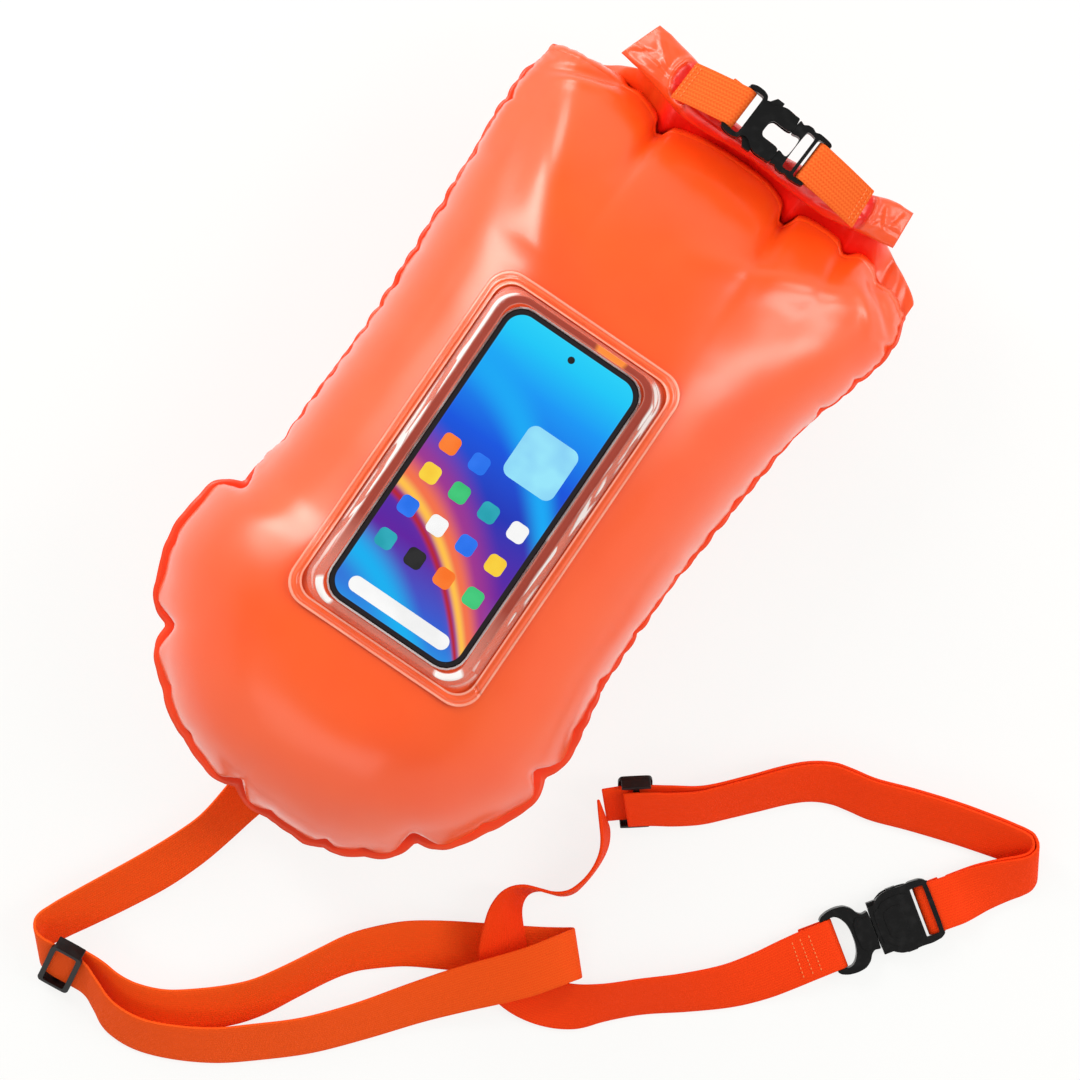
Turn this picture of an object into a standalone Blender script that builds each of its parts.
"""Open water swim buoy: an inflated dry bag with a roll-top, a phone pocket, a leash and a waist belt.

Metres, +Z up. The bag lies on its back, so its phone pocket faces up. The origin is on the floor
under the middle of the bag, +Y runs towards the roll-top and +X to the bag's right edge.
"""

import bisect
import math

import bmesh
import bpy
from mathutils import Matrix, Vector

# Clearances and cutters
GAP = 0.0003
FILM_GAP = 0.0006
RUNNING_GAP = 0.0004
OVERRUN = 0.004

# Inflated bag
BAG_WIDTH = 0.238
CHAMBER_LENGTH = 0.366
CHAMBER_BOTTOM_Y = -0.2015
SEAM_HEIGHT = 0.071
FRONT_DEPTH = 0.064
BACK_DEPTH = 0.080
PHONE_FLATTENING = 0.0045
PHONE_SEAT_HEIGHT = SEAM_HEIGHT + FRONT_DEPTH - PHONE_FLATTENING
CHAMBER_END_DEPTH = 0.004
LEFT_CORNER_LIFT = 0.011
RIGHT_CORNER_DROP = 0.002
CORNER_LIFT_POWER = 8
CORNER_WIDTH_POWER = 3
CHAMBER_ROWS = 24
CHAMBER_COLUMNS = 16

# Seam flange and inner bag
FLANGE_THICKNESS = 0.0012
FLANGE_INSET = 0.006
FLANGE_REACH = 0.0022
SCALLOP_DEPTH = 0.0026
SCALLOP_COUNT = 40
SCALLOP_STEPS = 4
LINER_INSET = 0.007

# Rolled closure
NECK_TOP_THICKNESS = 0.010
NECK_START_SHARE = 0.8
NECK_TAPER_POWER = 2
ROLL_LENGTH = 0.158
ROLL_CENTRE_X = 0.010
ROLL_BEYOND_TOP = 0.009
ROLL_MIDDLE_Y = CHAMBER_BOTTOM_Y + CHAMBER_LENGTH + ROLL_BEYOND_TOP
ROLL_RISE = 0.018
ROLL_ABOVE_SEAM = 0.030
ROLL_HEIGHT = SEAM_HEIGHT + ROLL_ABOVE_SEAM
ROLL_RADIUS = 0.0115
STIFFENER_WIDTH = 0.014
STIFFENER_THICKNESS = 0.0012
STIFFENER_END = 0.004
ROLL_STEPS = 22
ROLL_SIDES = 14

# Phone and its pocket
PHONE_WIDTH = 0.075
PHONE_LENGTH = 0.160
PHONE_THICKNESS = 0.008
PHONE_CORNER = 0.0115
PHONE_EDGE = 0.0009
PHONE_X = -0.006
PHONE_BELOW_MIDDLE = 0.001
PHONE_Y = CHAMBER_BOTTOM_Y + CHAMBER_LENGTH / 2 - PHONE_BELOW_MIDDLE
SCREEN_THICKNESS = 0.0008
SCREEN_MARGIN = 0.0012
POCKET_WIDTH = 0.104
POCKET_LENGTH = 0.182
POCKET_CORNER = 0.012
POCKET_RIM = 0.0055
POCKET_FILM = 0.0008
POCKET_TOP_MARGIN = 0.0028
POCKET_HEADROOM = 0.0004
CORNER_STEPS = 5
POCKET_SIDE_STEPS = 6

# Inflation valve on the back
VALVE_X = 0.045
VALVE_BELOW_TOP = 0.0295
VALVE_Y = CHAMBER_BOTTOM_Y + CHAMBER_LENGTH - VALVE_BELOW_TOP
VALVE_SINK = 0.0012
VALVE_FLANGE_RADIUS = 0.014
VALVE_FLANGE_THICKNESS = 0.0012
VALVE_COLLAR_RADIUS = 0.0075
VALVE_COLLAR_HEIGHT = 0.004
VALVE_BORE_RADIUS = 0.0046
VALVE_STEM_RADIUS = 0.0068
VALVE_STEM_DEPTH = 0.012
VALVE_SHAFT_DEPTH = 0.022
VALVE_FLAP_RADIUS = 0.0060
VALVE_FLAP_THICKNESS = 0.0008
VALVE_CAP_RADIUS = 0.009
VALVE_CAP_THICKNESS = 0.002
VALVE_PLUG_RADIUS = 0.0042
VALVE_PLUG_DEPTH = 0.0025
VALVE_HINGE_REACH = 0.0125
TETHER_WIDTH = 0.006
TETHER_THICKNESS = 0.001
TURNED_STEPS = 28

# Side-release buckles
BUCKLE_WALL = 0.0016
BUCKLE_THICKNESS = 0.009
BUCKLE_SIDE_ROOM = 0.0028
BUCKLE_SLOT_ROOM = 0.0006
BUCKLE_SLOT = 0.0052
BUCKLE_BAR = 0.003
BUCKLE_ROUNDING = 0.0022
PRONG_WIDTH = 0.0022
PRONG_PROUD = 0.001
PRONG_TIP = 0.0025
PRONG_HEAD_START_SHARE = 0.34
PRONG_HEAD_END_SHARE = 0.58
TONGUE_WIDTH_SHARE = 0.22
TONGUE_LENGTH_SHARE = 0.50
WINDOW_WIDTH_SHARE = 0.42
WINDOW_START_SHARE = 0.16
WINDOW_END_SHARE = 0.52
BAR_ROUND_STEPS = 8

ROLL_WEB_WIDTH = 0.020
ROLL_WEB_THICKNESS = 0.0014
ROLL_SOCKET_LENGTH = 0.028
ROLL_PLUG_LENGTH = 0.019
ROLL_BUCKLE_X = 0.0175
ROLL_BUCKLE_BEYOND_ROLL = 0.0165
ROLL_BUCKLE_Y = ROLL_MIDDLE_Y + ROLL_BUCKLE_BEYOND_ROLL
ROLL_BUCKLE_CLEARANCE = 0.0015
ROLL_BUCKLE_HEIGHT = ROLL_HEIGHT + ROLL_RADIUS + ROLL_BUCKLE_CLEARANCE + BUCKLE_THICKNESS / 2
ROLL_BUCKLE_TURN = -3.0
ROLL_TAIL = 0.009
EAR_SHARE = 0.345
EAR_TURN = 3.0
STRAP_STEPS = 7
STRAP_BULGE = 0.0016

BELT_WEB_WIDTH = 0.025
BELT_WEB_THICKNESS = 0.0015
BELT_LAYER_PITCH = 0.0022
BELT_SOCKET_LENGTH = 0.032
BELT_PLUG_LENGTH = 0.024
BELT_BUCKLE_X = 0.2700
BELT_BUCKLE_Y = -0.0890
BELT_BUCKLE_TURN = 235.0
BELT_TAIL = 0.013
BELT_MEETING = 0.007

# Sliders on the leash and the belt
SLIDER_LENGTH = 0.017
SLIDER_RAIL = 0.0030
SLIDER_BAR = 0.0030
SLIDER_BAR_THICKNESS = 0.0020
SLIDER_WEB_ROOM = 0.0010
LEASH_SLIDER_AT = 0.189
BELT_SLIDER_AT = 0.013
BELT_INNER_START = 0.006
LAYERS_MEET = 0.030

# Patch that holds the leash to the bag's back
PATCH_WIDTH = 0.040
PATCH_LENGTH = 0.026
PATCH_THICKNESS = 0.0012
PATCH_X = -0.012
PATCH_ABOVE_BOTTOM = 0.0315
PATCH_Y = CHAMBER_BOTTOM_Y + PATCH_ABOVE_BOTTOM
PATCH_STEPS = 6

WEB_STEP = 0.005

# Share of the chamber's length from its bottom, and the seam's reach to the left and to the right
# as shares of half the bag's width.
OUTLINE_SHARES = (
    (0.000, 0.20, 0.14),
    (0.010, 0.38, 0.26),
    (0.030, 0.55, 0.38),
    (0.060, 0.68, 0.50),
    (0.110, 0.82, 0.66),
    (0.165, 0.93, 0.765),
    (0.225, 1.00, 0.815),
    (0.300, 0.97, 0.815),
    (0.360, 0.88, 0.795),
    (0.460, 0.855, 0.79),
    (0.610, 0.84, 0.815),
    (0.770, 0.86, 0.87),
    (0.890, 0.885, 0.965),
    (0.960, 0.885, 1.00),
    (1.000, 0.865, 0.975),
)

# How the chamber's depth falls away towards its two ends, and across its width.
BOTTOM_ROUND_SHARE = 0.30
TOP_ROUND_SHARE = 0.41
TOP_ROUND_END_SHARE = 1.012
END_POWER = 2.5
SECTION_POWER = 2.5
ROUND_POWER = 0.55

# Along half the roll from its middle, its rise towards the ends, its height along Y and along Z as
# shares of ROLL_RISE and ROLL_RADIUS.
ROLL_SHARES = (
    (0.00, 0.00, 0.92, 1.00),
    (0.25, 0.05, 0.95, 1.00),
    (0.45, 0.32, 1.04, 0.97),
    (0.62, 0.78, 1.12, 0.88),
    (0.80, 1.04, 1.20, 0.72),
    (0.92, 1.04, 1.16, 0.52),
    (1.00, 0.90, 0.80, 0.32),
)

# Routes of the webbing: x, y, how far its lower edge is lifted off the floor, the compass direction
# of its raised edge and its lean, both in degrees. Their order is the way the webbing runs.
LEASH_ROUTE = (
    (-0.0120, -0.1610, 0.0018, 178.0, 0.0),
    (-0.0150, -0.1760, 0.0022, 177.0, 4.0),
    (-0.0175, -0.1960, 0.0012, 174.0, 20.0),
    (-0.0205, -0.2137, 0.0004, 167.0, 36.0),
    (-0.0235, -0.2296, 0.0002, 165.0, 42.0),
    (-0.0280, -0.2440, 0.0002, 158.0, 38.0),
    (-0.0355, -0.2620, 0.0002, 153.0, 34.0),
    (-0.0455, -0.2815, 0.0002, 152.0, 36.0),
    (-0.0545, -0.2980, 0.0004, 148.0, 40.0),
    (-0.0615, -0.3110, 0.0020, 140.0, 44.0),
    (-0.0645, -0.3190, 0.0038, 132.0, 46.0),
    (-0.0610, -0.3250, 0.0052, 126.0, 46.0),
    (-0.0540, -0.3258, 0.0057, 122.5, 44.5),
    (-0.0445, -0.3250, 0.0057, 122.0, 44.0),
    (-0.0350, -0.3247, 0.0054, 121.5, 44.0),
    (-0.0260, -0.3285, 0.0030, 114.0, 48.0),
    (-0.0150, -0.3335, 0.0008, 107.0, 48.0),
    (0.0000, -0.3335, 0.0002, 106.0, 46.0),
    (0.0160, -0.3280, 0.0002, 112.0, 43.0),
    (0.0354, -0.3172, 0.0002, 120.0, 41.0),
    (0.0521, -0.3039, 0.0002, 129.0, 40.0),
    (0.0703, -0.2876, 0.0002, 135.0, 40.0),
    (0.0876, -0.2677, 0.0002, 139.0, 39.0),
    (0.1055, -0.2440, 0.0036, 141.0, 33.0),
    (0.1190, -0.2270, 0.0085, 139.0, 25.0),
    (0.1310, -0.2130, 0.0126, 137.0, 19.0),
    (0.1415, -0.2005, 0.0148, 136.0, 15.0),
    (0.1480, -0.1914, 0.0152, 135.0, 12.0),
    (0.1530, -0.1844, 0.0138, 134.0, 9.0),
    (0.1566, -0.1800, 0.0078, 133.0, 7.0),
    (0.1530, -0.1831, 0.0018, 131.0, 4.0),
    (0.1450, -0.1886, 0.0004, 128.0, 4.0),
    (0.1320, -0.1965, 0.0003, 125.0, 4.0),
    (0.1155, -0.2060, 0.0003, 123.0, 6.0),
    (0.0995, -0.2150, 0.0002, 123.0, 14.0),
    (0.0850, -0.2240, 0.0002, 124.0, 24.0),
    (0.0736, -0.2339, 0.0002, 127.0, 32.0),
    (0.0658, -0.2422, 0.0002, 134.0, 39.0),
    (0.0589, -0.2527, 0.0002, 141.0, 45.0),
    (0.0490, -0.2705, 0.0002, 142.0, 45.0),
    (0.0405, -0.2852, 0.0002, 137.0, 40.0),
    (0.0314, -0.2963, 0.0002, 132.0, 34.0),
    (0.0181, -0.3083, 0.0002, 126.0, 31.0),
    (0.0057, -0.3168, 0.0004, 118.0, 32.0),
    (-0.0078, -0.3215, 0.0010, 112.0, 36.0),
    (-0.0180, -0.3222, 0.0014, 112.0, 40.0),
    (-0.0275, -0.3205, 0.0020, 117.0, 43.0),
    (-0.0375, -0.3205, 0.0024, 121.0, 44.0),
    (-0.0450, -0.3218, 0.0023, 122.0, 44.0),
)
BELT_MAIN_ROUTE = (
    (0.2490, -0.1200, 0.0058, 143.0, 1.0),
    (0.2435, -0.1290, 0.0034, 143.0, 7.0),
    (0.2370, -0.1392, 0.0012, 142.0, 16.0),
    (0.2265, -0.1522, 0.0002, 139.0, 27.0),
    (0.2110, -0.1665, 0.0002, 134.0, 36.0),
    (0.1940, -0.1805, 0.0002, 129.0, 41.0),
    (0.1806, -0.1932, 0.0004, 128.0, 38.0),
    (0.1708, -0.2024, 0.0006, 127.0, 24.0),
    (0.1590, -0.2086, 0.0012, 124.0, 11.0),
    (0.1470, -0.2110, 0.0022, 108.0, 2.0),
    (0.1370, -0.2095, 0.0032, 80.0, -4.0),
    (0.1300, -0.2045, 0.0042, 54.0, -10.0),
    (0.1243, -0.1972, 0.0050, 37.0, -24.0),
    (0.1188, -0.1885, 0.0042, 31.0, -42.0),
    (0.1150, -0.1800, 0.0030, 25.0, -54.0),
    (0.1155, -0.1715, 0.0020, 16.0, -62.0),
    (0.1215, -0.1655, 0.0014, 8.0, -68.0),
    (0.1295, -0.1630, 0.0010, 2.0, -74.0),
    (0.1365, -0.1580, 0.0006, -2.0, -80.0),
    (0.1395, -0.1490, 0.0004, -4.0, -84.0),
    (0.1400, -0.1390, 0.0004, -6.0, -84.0),
    (0.1380, -0.1300, 0.0016, -12.0, -80.0),
    (0.1330, -0.1222, 0.0036, -22.0, -70.0),
    (0.1275, -0.1160, 0.0056, -36.0, -56.0),
)
BELT_LOOP_ROUTE = (
    (0.1270, -0.1138, 0.0066, -46.0, -49.0),
    (0.1345, -0.1072, 0.0068, -46.0, -47.0),
    (0.1425, -0.1012, 0.0062, -47.0, -47.0),
    (0.1536, -0.0942, 0.0036, -49.0, -47.0),
    (0.1674, -0.0849, 0.0014, -46.0, -47.0),
    (0.1830, -0.0683, 0.0012, -44.0, -46.0),
    (0.1942, -0.0556, 0.0012, -43.0, -44.0),
    (0.2030, -0.0475, 0.0012, -49.0, -41.0),
    (0.2128, -0.0420, 0.0012, -56.0, -38.0),
    (0.2219, -0.0397, 0.0012, -59.0, -38.0),
    (0.2329, -0.0375, 0.0012, -60.0, -38.0),
    (0.2510, -0.0311, 0.0012, -61.0, -38.0),
    (0.2715, -0.0246, 0.0012, -62.0, -39.0),
    (0.2877, -0.0202, 0.0012, -62.0, -41.0),
    (0.3020, -0.0168, 0.0012, -60.0, -43.0),
    (0.3110, -0.0155, 0.0014, -56.0, -45.0),
    (0.3160, -0.0195, 0.0016, -51.0, -45.0),
    (0.3150, -0.0250, 0.0016, -47.0, -42.0),
    (0.3075, -0.0345, 0.0012, -42.0, -33.0),
    (0.3010, -0.0435, 0.0014, -39.0, -22.0),
    (0.2965, -0.0510, 0.0034, -37.0, -10.0),
    (0.2935, -0.0556, 0.0058, -36.0, -2.0),
)

# Colours of the materials
FILM_ORANGE = (1.0, 0.155, 0.035, 1.0)
FILM_RED = (0.80, 0.035, 0.012, 1.0)
WEB_ORANGE = (0.86, 0.09, 0.012, 1.0)
PLASTIC_BLACK = (0.012, 0.012, 0.013, 1.0)
CLEAR_FILM = (0.93, 0.90, 0.88, 1.0)
PHONE_SILVER = (0.62, 0.62, 0.64, 1.0)
SCREEN_BLUE = (0.03, 0.16, 0.75, 1.0)
VALVE_WHITE = (0.82, 0.83, 0.84, 1.0)


def clear_scene():
    for obj in list(bpy.data.objects):
        bpy.data.objects.remove(obj, do_unlink=True)


def material(name, colour, roughness, metallic=0.0):
    made = bpy.data.materials.new(name)
    made.use_nodes = True
    shader = made.node_tree.nodes["Principled BSDF"]
    shader.inputs["Base Color"].default_value = colour
    shader.inputs["Roughness"].default_value = roughness
    shader.inputs["Metallic"].default_value = metallic
    made.diffuse_color = colour
    return made


def add_object(name, shape, finish, place=None):
    """Turns a finished bmesh into an object, placed by a matrix."""
    bmesh.ops.recalc_face_normals(shape, faces=shape.faces)
    mesh = bpy.data.meshes.new(name)
    shape.to_mesh(mesh)
    shape.free()
    mesh.shade_smooth()
    mesh.set_sharp_from_angle(angle=math.radians(35.0))
    obj = bpy.data.objects.new(name, mesh)
    if finish is not None:
        mesh.materials.append(finish)
    if place is not None:
        obj.matrix_world = place
    bpy.context.scene.collection.objects.link(obj)
    return obj


def loft(name, rings, finish, place=None, joined=False):
    """A closed solid through rings of equally many points, capped, or joined end to end."""
    shape = bmesh.new()
    loops = [[shape.verts.new(point) for point in ring] for ring in rings]
    following = loops[1:] + loops[:1] if joined else loops[1:]
    for first, second in zip(loops, following):
        for index in range(len(first)):
            after = (index + 1) % len(first)
            shape.faces.new((first[index], first[after], second[after], second[index]))
    if not joined:
        caps = [shape.faces.new(list(reversed(loops[0]))), shape.faces.new(loops[-1])]
        shape.normal_update()
        bmesh.ops.triangulate(shape, faces=caps)
    return add_object(name, shape, finish, place)


def block_shape(low, high):
    shape = bmesh.new()
    bmesh.ops.create_cube(shape, size=1.0)
    size = Vector(high) - Vector(low)
    middle = (Vector(high) + Vector(low)) / 2
    bmesh.ops.scale(shape, vec=size, verts=shape.verts)
    bmesh.ops.translate(shape, vec=middle, verts=shape.verts)
    return shape


def hide_cutter(cutter):
    cutter.hide_render = True
    cutter.display_type = "WIRE"


def cut_with(target, cutter):
    hide_cutter(cutter)
    cut = target.modifiers.new("cut by " + cutter.name, "BOOLEAN")
    cut.operation = "DIFFERENCE"
    cut.solver = "EXACT"
    cut.object = cutter


def cut_block(target, low, high):
    """Cuts a block, given by its corners in the target's own frame."""
    name = f"{target.name}_cutter_{len(target.modifiers)}"
    cut_with(target, add_object(name, block_shape(low, high), None, target.matrix_world.copy()))


def extrude_outline(name, outline, low, high, finish, place):
    """A plate with the outline in the local XY plane, from the height low to high."""
    rings = [[(x, y, height) for x, y in outline] for height in (low, high)]
    return loft(name, rings, finish, place)


def round_outline(width, length, corner, steps, side_steps=1):
    """Points of a rectangle with round corners, about the origin, all turning the same way."""
    corners = []
    for turn, (side_x, side_y) in enumerate(((1, 1), (-1, 1), (-1, -1), (1, -1))):
        centre = Vector((side_x * (width / 2 - corner), side_y * (length / 2 - corner)))
        angles = [math.radians(90.0) * (turn + step / steps) for step in range(steps + 1)]
        corners.append([centre + corner * Vector((math.cos(angle), math.sin(angle))) for angle in angles])
    points = []
    for index, arc in enumerate(corners):
        following = corners[(index + 1) % len(corners)][0]
        points += arc
        points += [arc[-1].lerp(following, step / side_steps) for step in range(1, side_steps)]
    return points


def turned(name, profile, finish, place, hollow=False):
    """A turned piece: rings at each (radius, height) of the profile."""
    rings = []
    for radius, height in profile:
        ring = []
        for step in range(TURNED_STEPS):
            angle = math.tau * step / TURNED_STEPS
            ring.append((radius * math.cos(angle), radius * math.sin(angle), height))
        rings.append(ring)
    return loft(name, rings, finish, place, joined=hollow)


def eased(rows, at):
    """Values at a key between the rows of a table, on one smooth curve through them."""
    keys = [row[0] for row in rows]
    low = max(0, min(len(rows) - 2, bisect.bisect_right(keys, at) - 1))
    before, first, second, after = (
        rows[max(low - 1, 0)],
        rows[low],
        rows[low + 1],
        rows[min(low + 2, len(rows) - 1)],
    )
    span = second[0] - first[0]
    part = max(0.0, min(1.0, (at - first[0]) / span))
    values = []
    for column in range(1, len(first)):
        leaving = (second[column] - before[column]) / (second[0] - before[0]) * span
        arriving = (after[column] - first[column]) / (after[0] - first[0]) * span
        values.append(
            (2 * part**3 - 3 * part**2 + 1) * first[column]
            + (part**3 - 2 * part**2 + part) * leaving
            + (3 * part**2 - 2 * part**3) * second[column]
            + (part**3 - part**2) * arriving
        )
    return values


def placed(origin, x_axis, z_axis):
    """A matrix with its X axis along x_axis and its Z axis as near z_axis as that allows."""
    x_axis = Vector(x_axis).normalized()
    y_axis = Vector(z_axis).cross(x_axis).normalized()
    z_axis = x_axis.cross(y_axis)
    turn = Matrix((x_axis, y_axis, z_axis)).transposed().to_4x4()
    return Matrix.Translation(Vector(origin)) @ turn


def compass(degrees, lean=0.0):
    """The unit vector in a compass direction from +X towards +Y, raised by the lean."""
    turn = math.radians(degrees)
    rise = math.radians(lean)
    return Vector((math.cos(turn) * math.cos(rise), math.sin(turn) * math.cos(rise), math.sin(rise)))


# The inflated bag


def seam_reach(share):
    """The chamber's left and right edges at a share of its length."""
    half = BAG_WIDTH / 2 - FLANGE_REACH - SCALLOP_DEPTH
    left, right = eased(OUTLINE_SHARES, share)
    return -left * half, right * half


def depth_share(share):
    """How deep the chamber is at a share of its length, against its greatest depth."""
    if share < BOTTOM_ROUND_SHARE:
        away = 1 - share / BOTTOM_ROUND_SHARE
    else:
        away = max(0.0, (share - TOP_ROUND_END_SHARE + TOP_ROUND_SHARE) / TOP_ROUND_SHARE)
    return max(0.0, 1 - away**END_POWER) ** ROUND_POWER


def section_share(across):
    """How deep the chamber is across its width, from -1 at the left seam to 1 at the right."""
    return max(0.0, 1 - abs(across) ** SECTION_POWER) ** ROUND_POWER


def chamber_depth(x, y, depth):
    """How far the skin stands from the seam plane at a place on the bag."""
    share = (y - CHAMBER_BOTTOM_Y) / CHAMBER_LENGTH
    left, right = seam_reach(share)
    across = (2 * x - left - right) / (right - left)
    end_depth = CHAMBER_END_DEPTH * (1 - depth_share(share))
    return (depth * depth_share(share) + end_depth) * section_share(across)


def front_height(x, y):
    return min(SEAM_HEIGHT + chamber_depth(x, y, FRONT_DEPTH), PHONE_SEAT_HEIGHT)


def back_height(x, y):
    return max(SEAM_HEIGHT - chamber_depth(x, y, BACK_DEPTH), 0.0)


def corner_lift(share, across):
    """How far the top corners stand up from a straight top edge."""
    towards_top = max(0.0, share) ** CORNER_LIFT_POWER
    if across < 0:
        return LEFT_CORNER_LIFT * towards_top * abs(across) ** CORNER_WIDTH_POWER
    return -RIGHT_CORNER_DROP * towards_top * across**CORNER_WIDTH_POWER


def row_share(row):
    """Shares of the length, closer together towards both ends."""
    return (1 - math.cos(math.pi * row / CHAMBER_ROWS)) / 2


def make_chamber(name, finish, height_at, side):
    """Half of the inflated bag, from the seam plane out to its skin."""
    face = SEAM_HEIGHT + side * (FLANGE_THICKNESS / 2 + GAP)
    shape = bmesh.new()
    skins = []
    faces = []
    for row in range(CHAMBER_ROWS + 1):
        share = row_share(row)
        y = CHAMBER_BOTTOM_Y + CHAMBER_LENGTH * share
        left, right = seam_reach(share)
        skin = []
        flat = []
        for column in range(CHAMBER_COLUMNS + 1):
            across = -math.cos(math.pi * column / CHAMBER_COLUMNS)
            x = (left + right) / 2 + across * (right - left) / 2
            place_y = y + corner_lift(share, across)
            flat.append(shape.verts.new((x, place_y, face)))
            if column in (0, CHAMBER_COLUMNS):
                skin.append(flat[-1])
            else:
                skin.append(shape.verts.new((x, place_y, height_at(x, y))))
        skins.append(skin)
        faces.append(flat)
    for rows in (skins, faces):
        for first, second in zip(rows, rows[1:]):
            for column in range(CHAMBER_COLUMNS):
                shape.faces.new((first[column], first[column + 1], second[column + 1], second[column]))
    for end in (0, -1):
        for column in range(CHAMBER_COLUMNS):
            corners = (skins[end][column], skins[end][column + 1], faces[end][column + 1], faces[end][column])
            shape.faces.new(dict.fromkeys(corners))
    return add_object(name, shape, finish)


def seam_points(steps):
    """Points and outward directions along the seam, from the left shoulder round to the right."""
    sides = []
    for row in range(steps + 1):
        share = (1 - math.cos(math.pi * row / steps)) / 2
        left, right = seam_reach(share)
        y = CHAMBER_BOTTOM_Y + CHAMBER_LENGTH * share
        sides.append(
            (
                Vector((left, y + corner_lift(share, -1), 0.0)),
                Vector((right, y + corner_lift(share, 1), 0.0)),
            )
        )
    return [pair[0] for pair in reversed(sides)] + [pair[1] for pair in sides]


def even_points(points, count):
    """As many points again, evenly spaced along the line through the points."""
    lengths = [0.0]
    for first, second in zip(points, points[1:]):
        lengths.append(lengths[-1] + (second - first).length)
    spaced = []
    for index in range(count + 1):
        at = lengths[-1] * index / count
        low = max(0, min(len(points) - 2, bisect.bisect_right(lengths, at) - 1))
        part = (at - lengths[low]) / (lengths[low + 1] - lengths[low])
        spaced.append(points[low].lerp(points[low + 1], min(1.0, part)))
    return spaced


def make_flange(finish):
    """The welded seam round the bag, with a scalloped outer edge, open at the neck."""
    line = even_points(seam_points(CHAMBER_ROWS * SCALLOP_STEPS), SCALLOP_COUNT * SCALLOP_STEPS)
    rings = []
    for index, point in enumerate(line[1:-1], start=1):
        ahead = line[min(index + 1, len(line) - 1)] - line[max(index - 1, 0)]
        outward = Vector((-ahead.y, ahead.x, 0.0)).normalized() * -1
        wave = abs(math.sin(math.pi * index / SCALLOP_STEPS))
        outer = point + outward * (FLANGE_REACH + SCALLOP_DEPTH * wave)
        inner = point - outward * FLANGE_INSET
        low = SEAM_HEIGHT - FLANGE_THICKNESS / 2
        high = SEAM_HEIGHT + FLANGE_THICKNESS / 2
        rings.append([(*inner.xy, low), (*outer.xy, low), (*outer.xy, high), (*inner.xy, high)])
    return loft("seam_flange", rings, finish)


def make_liner(finish):
    """The dry bag inside, lying empty and flat between the two chambers."""
    low = SEAM_HEIGHT - FLANGE_THICKNESS / 2
    high = SEAM_HEIGHT + FLANGE_THICKNESS / 2
    inset = FLANGE_INSET + LINER_INSET
    end_y = CHAMBER_BOTTOM_Y + CHAMBER_LENGTH - RIGHT_CORNER_DROP
    rings = []
    for row in range(1, CHAMBER_ROWS + 1):
        share = row_share(row)
        y = min(end_y, CHAMBER_BOTTOM_Y + CHAMBER_LENGTH * share)
        if y < CHAMBER_BOTTOM_Y + inset:
            continue
        left, right = seam_reach(share)
        rings.append(
            [
                (left + inset, y, low),
                (right - inset, y, low),
                (right - inset, y, high),
                (left + inset, y, high),
            ]
        )
    return loft("dry_liner", rings, finish)


# The rolled closure


def roll_place(x):
    """The roll's middle at x, and its half height along Y and along Z there."""
    along = min(1.0, abs(x - ROLL_CENTRE_X) / (ROLL_LENGTH / 2))
    rise, tall, deep = eased(ROLL_SHARES, along)
    return ROLL_MIDDLE_Y + ROLL_RISE * rise, ROLL_RADIUS * tall, ROLL_RADIUS * deep


def roll_stations(end_room):
    half = ROLL_LENGTH / 2 - end_room
    return [ROLL_CENTRE_X - half * math.cos(math.pi * step / ROLL_STEPS) for step in range(ROLL_STEPS + 1)]


def strip_rings(stations, width, thickness):
    rings = []
    for x in stations:
        y = roll_place(x)[0]
        rings.append(
            [
                (x, y - width / 2, ROLL_HEIGHT - thickness / 2),
                (x, y + width / 2, ROLL_HEIGHT - thickness / 2),
                (x, y + width / 2, ROLL_HEIGHT + thickness / 2),
                (x, y - width / 2, ROLL_HEIGHT + thickness / 2),
            ]
        )
    return rings


def make_roll(finish, strip_finish):
    rings = []
    for x in roll_stations(0.0):
        y, tall, deep = roll_place(x)
        ring = []
        for side in range(ROLL_SIDES):
            angle = math.tau * (side + 0.5) / ROLL_SIDES
            ring.append((x, y + tall * math.cos(angle), ROLL_HEIGHT + deep * math.sin(angle)))
        rings.append(ring)
    roll = loft("roll_top", rings, finish)
    inside = roll_stations(STIFFENER_END)
    through = [inside[0] - STIFFENER_END - OVERRUN, *inside, inside[-1] + STIFFENER_END + OVERRUN]
    slot_width = STIFFENER_WIDTH + 2 * GAP
    slot_depth = STIFFENER_THICKNESS + 2 * GAP
    cut_with(roll, loft("roll_slot_cutter", strip_rings(through, slot_width, slot_depth), None))
    loft("roll_stiffener", strip_rings(inside, STIFFENER_WIDTH, STIFFENER_THICKNESS), strip_finish)


def make_neck(finish):
    """The gathered mouth of the bag, from the chambers' top edge to the underside of the roll."""
    top_y = CHAMBER_BOTTOM_Y + CHAMBER_LENGTH
    left, right = seam_reach(1.0)
    rings = []
    for step in range(ROLL_STEPS + 1):
        across = -math.cos(math.pi * step / ROLL_STEPS)
        x = (left + right) / 2 + across * (right - left) / 2
        start_y = top_y + corner_lift(1.0, across) + FILM_GAP
        taper = section_share(across) ** NECK_TAPER_POWER
        skin = chamber_depth(x, top_y, FRONT_DEPTH) * NECK_START_SHARE
        low = SEAM_HEIGHT - skin - FLANGE_THICKNESS
        high = SEAM_HEIGHT + skin + FLANGE_THICKNESS
        roll_y, _, deep = roll_place(x)
        end_y = start_y + FLANGE_REACH + (roll_y - start_y) * taper
        roof = ROLL_HEIGHT - deep - GAP
        end_high = SEAM_HEIGHT + FLANGE_THICKNESS + (roof - SEAM_HEIGHT - FLANGE_THICKNESS) * taper
        end_low = end_high - FLANGE_THICKNESS - NECK_TOP_THICKNESS * taper
        rings.append([(x, start_y, low), (x, end_y, end_low), (x, end_y, end_high), (x, start_y, high)])
    return loft("neck", rings, finish)


# The phone and its pocket


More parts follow.
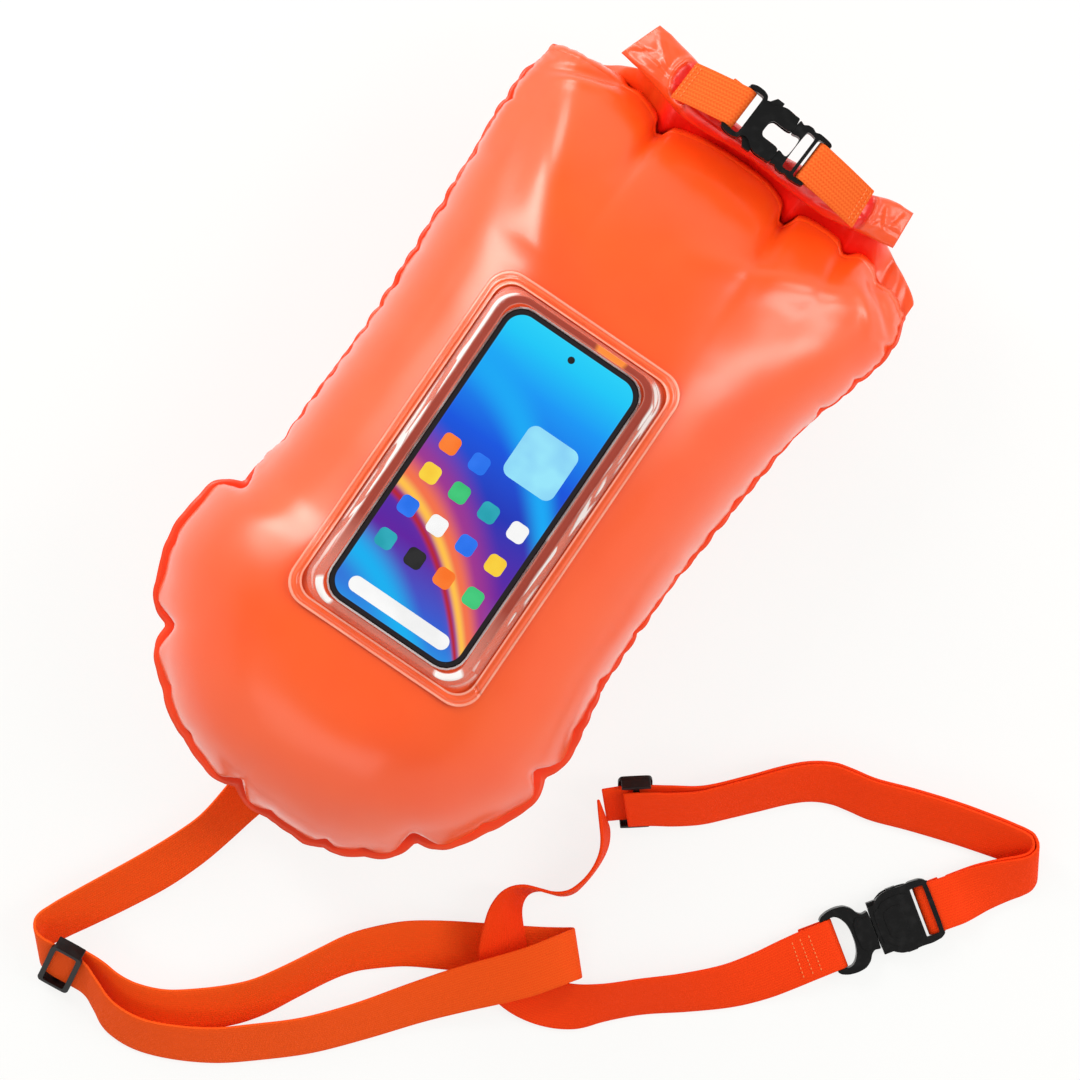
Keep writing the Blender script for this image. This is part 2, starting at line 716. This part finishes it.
def make_pocket(rim_finish, film_finish):
    """The welded rim, which follows the bag's front, and the clear raised window inside it."""
    inner_width = POCKET_WIDTH - 2 * POCKET_RIM
    inner_length = POCKET_LENGTH - 2 * POCKET_RIM
    inner_corner = POCKET_CORNER - POCKET_RIM / 2

    def pocket_outline(width, length, corner):
        return round_outline(width, length, corner, CORNER_STEPS, POCKET_SIDE_STEPS)

    outer = pocket_outline(POCKET_WIDTH, POCKET_LENGTH, POCKET_CORNER)
    inner = pocket_outline(inner_width, inner_length, inner_corner)

    def on_bag(outline, above):
        ring = []
        for x, y in outline:
            place_x = x + PHONE_X
            place_y = y + PHONE_Y
            ring.append((place_x, place_y, front_height(place_x, place_y) + FILM_GAP + above))
        return ring

    rim_rings = [on_bag(inner, 0.0), on_bag(outer, 0.0), on_bag(outer, POCKET_FILM), on_bag(inner, POCKET_FILM)]
    loft("pocket_rim", rim_rings, rim_finish, joined=True)

    foot_width = inner_width - 2 * GAP
    foot_length = inner_length - 2 * GAP
    foot = pocket_outline(foot_width, foot_length, inner_corner)
    foot_inside = pocket_outline(foot_width - 2 * POCKET_FILM, foot_length - 2 * POCKET_FILM, inner_corner)
    roof_width = PHONE_WIDTH + 2 * POCKET_TOP_MARGIN
    roof_length = PHONE_LENGTH + 2 * POCKET_TOP_MARGIN
    roof = pocket_outline(roof_width, roof_length, PHONE_CORNER)
    roof_inside = pocket_outline(roof_width - POCKET_FILM, roof_length - POCKET_FILM, PHONE_CORNER)
    phone_top = PHONE_SEAT_HEIGHT + FILM_GAP + PHONE_THICKNESS
    ceiling = phone_top + POCKET_HEADROOM

    def level(outline, height):
        return [(x + PHONE_X, y + PHONE_Y, height) for x, y in outline]

    window_rings = [
        level(roof_inside, ceiling),
        on_bag(foot_inside, 0.0),
        on_bag(foot, 0.0),
        level(roof, ceiling + POCKET_FILM),
    ]
    loft("pocket_window", window_rings, film_finish)


def make_phone(case_finish, screen_finish):
    """A plain slab phone, with its screen let into the front."""
    bottom = PHONE_SEAT_HEIGHT + FILM_GAP
    top = bottom + PHONE_THICKNESS

    def ring(inset, height):
        outline = round_outline(
            PHONE_WIDTH - 2 * inset,
            PHONE_LENGTH - 2 * inset,
            PHONE_CORNER - inset,
            CORNER_STEPS,
        )
        return [(x, y, height) for x, y in outline]

    place = Matrix.Translation((PHONE_X, PHONE_Y, 0.0))
    floor = top - SCREEN_THICKNESS - GAP
    case_rings = [
        ring(PHONE_EDGE, bottom),
        ring(0.0, bottom + PHONE_EDGE),
        ring(0.0, top - PHONE_EDGE),
        ring(PHONE_EDGE, top),
        ring(SCREEN_MARGIN, top),
        ring(SCREEN_MARGIN, floor),
    ]
    loft("phone_case", case_rings, case_finish, place)
    glass_rings = [ring(SCREEN_MARGIN + GAP, floor + GAP), ring(SCREEN_MARGIN + GAP, top)]
    loft("phone_screen", glass_rings, screen_finish, place)


# The inflation valve


def valve_place():
    """The valve's frame: its origin at the flange's outer face and +Z out of the bag's back."""
    step = VALVE_FLANGE_RADIUS / 2

    def skin(x, y):
        return Vector((x, y, back_height(x, y)))

    along_x = skin(VALVE_X + step, VALVE_Y) - skin(VALVE_X - step, VALVE_Y)
    along_y = skin(VALVE_X, VALVE_Y + step) - skin(VALVE_X, VALVE_Y - step)
    outward = along_y.cross(along_x).normalized()
    origin = skin(VALVE_X, VALVE_Y) - outward * VALVE_SINK
    return placed(origin, along_y, outward)


def make_valve(bag, base_finish, soft_finish):
    place = valve_place()
    seat_depth = VALVE_FLANGE_THICKNESS + GAP
    seat_radius = VALVE_FLANGE_RADIUS + GAP
    shaft_radius = VALVE_STEM_RADIUS + GAP
    out = VALVE_COLLAR_HEIGHT + OVERRUN
    cut_with(bag, turned("valve_seat_cutter", [(seat_radius, -seat_depth), (seat_radius, out)], None, place))
    shaft = [(shaft_radius, -VALVE_SHAFT_DEPTH), (shaft_radius, out)]
    cut_with(bag, turned("valve_shaft_cutter", shaft, None, place))
    base_profile = [
        (VALVE_BORE_RADIUS, VALVE_COLLAR_HEIGHT),
        (VALVE_COLLAR_RADIUS, VALVE_COLLAR_HEIGHT),
        (VALVE_COLLAR_RADIUS, 0.0),
        (VALVE_FLANGE_RADIUS, 0.0),
        (VALVE_FLANGE_RADIUS, -VALVE_FLANGE_THICKNESS),
        (VALVE_STEM_RADIUS, -VALVE_FLANGE_THICKNESS),
        (VALVE_STEM_RADIUS, -VALVE_STEM_DEPTH),
        (VALVE_BORE_RADIUS, -VALVE_STEM_DEPTH),
    ]
    turned("valve_base", base_profile, base_finish, place, hollow=True)

    flap_top = -VALVE_STEM_DEPTH - RUNNING_GAP
    flap_middle = flap_top - VALVE_FLAP_THICKNESS / 2
    flap_hinge = Vector((VALVE_FLAP_RADIUS, 0.0, flap_middle))
    flap_place = place @ Matrix.Translation(flap_hinge)
    flap_rings = []
    for height in (-VALVE_FLAP_THICKNESS / 2, VALVE_FLAP_THICKNESS / 2):
        ring = []
        for step in range(TURNED_STEPS):
            angle = math.tau * step / TURNED_STEPS
            x = VALVE_FLAP_RADIUS * math.cos(angle) - VALVE_FLAP_RADIUS
            ring.append((x, VALVE_FLAP_RADIUS * math.sin(angle), height))
        flap_rings.append(ring)
    loft("valve_flap", flap_rings, soft_finish, flap_place)

    cap_low = VALVE_COLLAR_HEIGHT + RUNNING_GAP
    cap_middle = cap_low + VALVE_CAP_THICKNESS / 2
    cap_place = place @ Matrix.Translation((VALVE_HINGE_REACH, 0.0, cap_middle))
    cap_profile = (
        (VALVE_PLUG_RADIUS, VALVE_COLLAR_HEIGHT - VALVE_PLUG_DEPTH - cap_middle),
        (VALVE_PLUG_RADIUS, cap_low - cap_middle),
        (VALVE_CAP_RADIUS, cap_low - cap_middle),
        (VALVE_CAP_RADIUS, cap_low + VALVE_CAP_THICKNESS - cap_middle),
    )
    cap_rings = []
    for radius, height in cap_profile:
        ring = []
        for step in range(TURNED_STEPS):
            angle = math.tau * step / TURNED_STEPS
            ring.append((radius * math.cos(angle) - VALVE_HINGE_REACH, radius * math.sin(angle), height))
        cap_rings.append(ring)
    loft("valve_cap", cap_rings, soft_finish, cap_place)

    bend = TETHER_THICKNESS
    tether_line = [
        (VALVE_CAP_RADIUS + RUNNING_GAP, cap_middle),
        (VALVE_HINGE_REACH - bend / 2, cap_middle),
        (VALVE_HINGE_REACH, cap_middle - bend / 2),
        (VALVE_HINGE_REACH, GAP),
    ]
    stations = [(place @ Vector((x, 0.0, z)), place.to_3x3() @ Vector((0.0, 1.0, 0.0))) for x, z in tether_line]
    make_webbing("valve_tether", stations, TETHER_WIDTH, TETHER_THICKNESS, soft_finish)


# Webbing


def make_webbing(name, stations, width, thickness, finish):
    """Flat webbing through stations of a middle point and the direction of one edge."""
    rings = []
    for index, (middle, side) in enumerate(stations):
        ahead = stations[min(index + 1, len(stations) - 1)][0] - stations[max(index - 1, 0)][0]
        across = side * width / 2
        outward = ahead.normalized().cross(side).normalized() * thickness / 2
        rings.append(
            [
                middle - across - outward,
                middle + across - outward,
                middle + across + outward,
                middle - across + outward,
            ]
        )
    return loft(name, rings, finish)


def route_stations(route, width, thickness, offset=0.0, first_offset=None):
    """Stations along a smooth curve through a route, moved off its face by the offset.

    A first offset holds where the webbing starts, and eases into the other over LAYERS_MEET.
    """
    keyed = []
    at = 0.0
    for index, row in enumerate(route):
        if index:
            before = route[index - 1]
            at += math.dist(row[:3], before[:3])
        keyed.append((at, *row))
    count = max(2, round(at / WEB_STEP))
    middles = []
    for step in range(count + 1):
        x, y, lift, turn, lean = eased(keyed, at * step / count)
        rise = math.radians(abs(lean))
        rest = width / 2 * math.sin(rise) + thickness / 2 * math.cos(rise)
        middles.append((Vector((x, y, lift + rest)), compass(turn, lean)))
    stations = []
    for index, (middle, side) in enumerate(middles):
        ahead = middles[min(index + 1, count)][0] - middles[max(index - 1, 0)][0]
        outward = ahead.normalized().cross(side).normalized()
        moved = offset
        if first_offset is not None:
            part = min(1.0, max(0.0, index / count * at / LAYERS_MEET - 1.0))
            moved = first_offset + (offset - first_offset) * part * part * (3 - 2 * part)
        stations.append((middle + outward * moved, side))
    return stations


def place_on_webbing(stations, distance):
    """A frame on the webbing at a distance along it, +X the way it runs and +Z off its face."""
    passed = 0.0
    for (before, _), (middle, side) in zip(stations, stations[1:]):
        passed += (middle - before).length
        if passed >= distance:
            break
    ahead = (middle - before).normalized()
    return placed(middle, ahead, ahead.cross(side))


def wrap_stations(place, bar_x, outwards, radius, tail, side):
    """Stations of webbing that leaves a bar over its top: from the tail below it, round the bar."""
    line = [(bar_x + outwards * tail, -radius)]
    for step in range(BAR_ROUND_STEPS + 1):
        angle = math.radians(-90.0 - 180.0 * step / BAR_ROUND_STEPS)
        line.append((bar_x + outwards * radius * math.cos(angle), radius * math.sin(angle)))
    return [(place @ Vector((x, 0.0, z)), side) for x, z in line]


# Buckles and sliders


def buckle_sizes(web):
    """The half width of a buckle for a webbing width, and half the width of its cavity."""
    half = web / 2 + BUCKLE_SIDE_ROOM
    return half, half - BUCKLE_WALL


def round_block(name, low, high, finish, place):
    made = add_object(name, block_shape(low, high), finish, place)
    rounding = made.modifiers.new("rounded edges", "BEVEL")
    rounding.width = BUCKLE_ROUNDING
    rounding.segments = 2
    rounding.limit_method = "ANGLE"
    return made


def cut_web_slot(piece, web, bar_x, side):
    """Opens the slot beside a webbing bar, and thins the bar from above and below."""
    half = web / 2 + BUCKLE_SLOT_ROOM
    inner = bar_x - side * (BUCKLE_BAR / 2 + BUCKLE_SLOT)
    edge = bar_x - side * BUCKLE_BAR / 2
    outer = bar_x + side * (BUCKLE_BAR / 2 + OVERRUN)
    tall = BUCKLE_THICKNESS / 2 + OVERRUN
    cut_block(piece, (min(inner, edge), -half, -tall), (max(inner, edge), half, tall))
    start = edge - side * BUCKLE_SLOT / 2
    for low, high in ((BUCKLE_BAR / 2, tall), (-tall, -BUCKLE_BAR / 2)):
        cut_block(piece, (min(start, outer), -half, low), (max(start, outer), half, high))


def make_buckle(name, web, socket_length, plug_length, place, windowed, finish):
    """A side-release buckle. Its local +X is the way the plug pulls out of the socket's mouth."""
    half, cavity = buckle_sizes(web)
    tall = BUCKLE_THICKNESS / 2
    inside = tall - BUCKLE_WALL
    head_start = socket_length * PRONG_HEAD_START_SHARE
    head_end = socket_length * PRONG_HEAD_END_SHARE
    cavity_end = head_end + PRONG_TIP + RUNNING_GAP

    socket = round_block(name + "_socket", (-socket_length, -half, -tall), (0.0, half, tall), finish, place)
    cut_block(socket, (-cavity_end, -cavity, -inside), (OVERRUN, cavity, inside))
    for side in (-1, 1):
        near = min(side * (cavity - BUCKLE_WALL), side * (half + OVERRUN))
        far = max(side * (cavity - BUCKLE_WALL), side * (half + OVERRUN))
        cut_block(socket, (-head_end, near, -inside), (-head_start, far, inside))
    cut_web_slot(socket, web, -socket_length + BUCKLE_BAR / 2, -1)
    if windowed:
        window = web * WINDOW_WIDTH_SHARE / 2
        start = -socket_length * WINDOW_END_SHARE
        end = -socket_length * WINDOW_START_SHARE
        cut_block(socket, (start, -window, -tall - OVERRUN), (end, window, tall + OVERRUN))

    plug = round_block(
        name + "_plug", (RUNNING_GAP, -half, -tall), (plug_length, half, tall), finish, place
    )
    cut_web_slot(plug, web, plug_length - BUCKLE_BAR / 2, 1)
    tongue = web * TONGUE_WIDTH_SHARE / 2
    reach = socket_length * TONGUE_LENGTH_SHARE
    if not windowed:
        join_block(plug, (-reach, -tongue, -inside / 2), (RUNNING_GAP + BUCKLE_WALL, tongue, inside / 2))

    prong_high = inside - RUNNING_GAP
    outer = cavity - RUNNING_GAP
    inner = outer - PRONG_WIDTH
    middle = (outer + inner) / 2
    for side, label in ((1, "left"), (-1, "right")):
        outline = [
            (0.0, inner - middle),
            (0.0, outer - middle),
            (-head_start - RUNNING_GAP, outer - middle),
            (-head_start - RUNNING_GAP, half + PRONG_PROUD - middle),
            (-head_end + PRONG_TIP, half + PRONG_PROUD - middle),
            (-head_end + RUNNING_GAP, outer - middle),
            (-head_end - PRONG_TIP + RUNNING_GAP, inner - middle + PRONG_WIDTH / 2),
            (-head_end - PRONG_TIP + RUNNING_GAP, inner - middle),
        ]
        mirrored = [(x, y * side) for x, y in outline]
        hinge = place @ Matrix.Translation((0.0, middle * side, 0.0))
        extrude_outline(f"{name}_prong_{label}", mirrored, -prong_high, prong_high, finish, hinge)


def join_block(target, low, high):
    """Adds a block to a piece, so that both are one body."""
    name = f"{target.name}_block_{len(target.modifiers)}"
    added = add_object(name, block_shape(low, high), None, target.matrix_world.copy())
    hide_cutter(added)
    union = target.modifiers.new("joined to " + name, "BOOLEAN")
    union.operation = "UNION"
    union.solver = "EXACT"
    union.object = added


def make_slider(name, web, thickness, place, finish):
    """A slider: webbing runs over its middle bar and under its two end bars."""
    room = thickness / 2 + SLIDER_WEB_ROOM
    half = web / 2 + SLIDER_RAIL
    inside = web / 2 + SLIDER_WEB_ROOM
    long = SLIDER_LENGTH / 2
    tall = room + SLIDER_BAR_THICKNESS
    slider = add_object(name, block_shape((-long, -half, -tall), (long, half, tall)), finish, place)
    cut_block(slider, (-long - OVERRUN, -inside, -room), (long + OVERRUN, inside, room))
    clear = long - SLIDER_BAR
    cut_block(slider, (-clear, -inside, 0.0), (clear, inside, tall + OVERRUN))
    bar = SLIDER_BAR / 2
    cut_block(slider, (bar, -inside, -tall - OVERRUN), (long + OVERRUN, inside, 0.0))
    cut_block(slider, (-long - OVERRUN, -inside, -tall - OVERRUN), (-bar, inside, 0.0))


def make_roll_buckle(plastic, webbing):
    axis = compass(ROLL_BUCKLE_TURN)
    place = placed((ROLL_BUCKLE_X, ROLL_BUCKLE_Y, ROLL_BUCKLE_HEIGHT), axis, (0.0, 0.0, 1.0))
    make_buckle("roll", ROLL_WEB_WIDTH, ROLL_SOCKET_LENGTH, ROLL_PLUG_LENGTH, place, True, plastic)
    radius = BUCKLE_BAR * math.sqrt(2) / 2 + GAP + ROLL_WEB_THICKNESS / 2
    side = place.to_3x3() @ Vector((0.0, 1.0, 0.0))
    ends = (
        ("roll_strap_left", -ROLL_SOCKET_LENGTH + BUCKLE_BAR / 2, -1),
        ("roll_strap_right", ROLL_PLUG_LENGTH - BUCKLE_BAR / 2, 1),
    )
    for name, bar_x, way in ends:
        stations = wrap_stations(place, bar_x, way, radius, ROLL_TAIL, side)
        start = stations[-1][0]
        ear_x = ROLL_CENTRE_X + way * ROLL_LENGTH * EAR_SHARE
        ear_y, _, deep = roll_place(ear_x)
        ear = Vector((ear_x, ear_y, ROLL_HEIGHT + deep + FILM_GAP + ROLL_WEB_THICKNESS / 2))
        ear_side = compass(90.0 + EAR_TURN * way)
        for step in range(1, STRAP_STEPS + 1):
            part = step / STRAP_STEPS
            bulge = math.sin(math.pi * part) * STRAP_BULGE
            middle = start.lerp(ear, part) + Vector((0.0, 0.0, bulge))
            stations.append((middle, side.lerp(ear_side, part).normalized()))
        make_webbing(name, stations, ROLL_WEB_WIDTH, ROLL_WEB_THICKNESS, webbing)


def make_belt(plastic, webbing):
    height = BUCKLE_THICKNESS / 2 + GAP
    axis = compass(BELT_BUCKLE_TURN)
    place = placed((BELT_BUCKLE_X, BELT_BUCKLE_Y, height), axis, (0.0, 0.0, 1.0))
    make_buckle("belt", BELT_WEB_WIDTH, BELT_SOCKET_LENGTH, BELT_PLUG_LENGTH, place, False, plastic)
    radius = BUCKLE_BAR * math.sqrt(2) / 2 + GAP + BELT_WEB_THICKNESS / 2
    across = place.to_3x3() @ Vector((0.0, 1.0, 0.0))

    plug_bar = BELT_PLUG_LENGTH - BUCKLE_BAR / 2
    side = compass(BELT_MAIN_ROUTE[0][3])
    main_side = across if across.dot(side) > 0 else -across
    main = wrap_stations(place, plug_bar, 1, radius, BELT_TAIL, main_side)
    main += route_stations(BELT_MAIN_ROUTE, BELT_WEB_WIDTH, BELT_WEB_THICKNESS)
    make_webbing("belt_webbing_main", main, BELT_WEB_WIDTH, BELT_WEB_THICKNESS, webbing)

    socket_bar = -BELT_SOCKET_LENGTH + BUCKLE_BAR / 2
    side = compass(BELT_LOOP_ROUTE[-1][3])
    loop_side = across if across.dot(side) > 0 else -across
    wrap = wrap_stations(place, socket_bar, -1, radius, BELT_MEETING, loop_side)
    half_pitch = BELT_LAYER_PITCH / 2
    under_bar = BELT_WEB_THICKNESS + SLIDER_WEB_ROOM + SLIDER_BAR_THICKNESS + GAP
    outer = route_stations(BELT_LOOP_ROUTE, BELT_WEB_WIDTH, BELT_WEB_THICKNESS, half_pitch)
    inner = route_stations(
        BELT_LOOP_ROUTE, BELT_WEB_WIDTH, BELT_WEB_THICKNESS, -half_pitch, half_pitch - under_bar
    )
    slider_place = place_on_webbing(outer, BELT_SLIDER_AT)
    make_slider("belt_slider", BELT_WEB_WIDTH, BELT_WEB_THICKNESS, slider_place, plastic)
    inner = inner[math.ceil(BELT_INNER_START / WEB_STEP) :]
    outer += list(reversed(wrap))
    make_webbing("belt_webbing_outer", outer, BELT_WEB_WIDTH, BELT_WEB_THICKNESS, webbing)
    make_webbing("belt_webbing_inner", inner, BELT_WEB_WIDTH, BELT_WEB_THICKNESS, webbing)


def make_leash(webbing, plastic, patch_finish):
    stations = route_stations(LEASH_ROUTE, BELT_WEB_WIDTH, BELT_WEB_THICKNESS)
    make_webbing("leash_webbing", stations, BELT_WEB_WIDTH, BELT_WEB_THICKNESS, webbing)
    slider_place = place_on_webbing(stations, LEASH_SLIDER_AT)
    make_slider("leash_slider", BELT_WEB_WIDTH, BELT_WEB_THICKNESS, slider_place, plastic)

    rings = []
    for row in range(PATCH_STEPS + 1):
        y = PATCH_Y + PATCH_LENGTH * (row / PATCH_STEPS - 0.5)
        top = []
        bottom = []
        for column in range(PATCH_STEPS + 1):
            x = PATCH_X + PATCH_WIDTH * (column / PATCH_STEPS - 0.5)
            skin = back_height(x, y) - FILM_GAP
            top.append((x, y, skin))
            bottom.append((x, y, skin - PATCH_THICKNESS))
        rings.append(top + list(reversed(bottom)))
    loft("leash_patch", rings, patch_finish)


def main():
    clear_scene()
    orange = material("orange film", FILM_ORANGE, 0.35)
    red = material("red film", FILM_RED, 0.4)
    web = material("orange webbing", WEB_ORANGE, 0.8)
    black = material("black plastic", PLASTIC_BLACK, 0.4)
    clear = material("clear film", CLEAR_FILM, 0.08)
    silver = material("silver case", PHONE_SILVER, 0.3, 1.0)
    screen = material("lit screen", SCREEN_BLUE, 0.1)
    white = material("valve plastic", VALVE_WHITE, 0.4)

    make_chamber("front_chamber", orange, front_height, 1)
    back = make_chamber("back_chamber", orange, back_height, -1)
    make_flange(orange)
    make_liner(red)
    make_neck(red)
    make_roll(orange, black)
    make_pocket(orange, clear)
    make_phone(silver, screen)
    make_valve(back, white, white)
    make_roll_buckle(black, web)
    make_leash(web, black, orange)
    make_belt(black, web)


main()
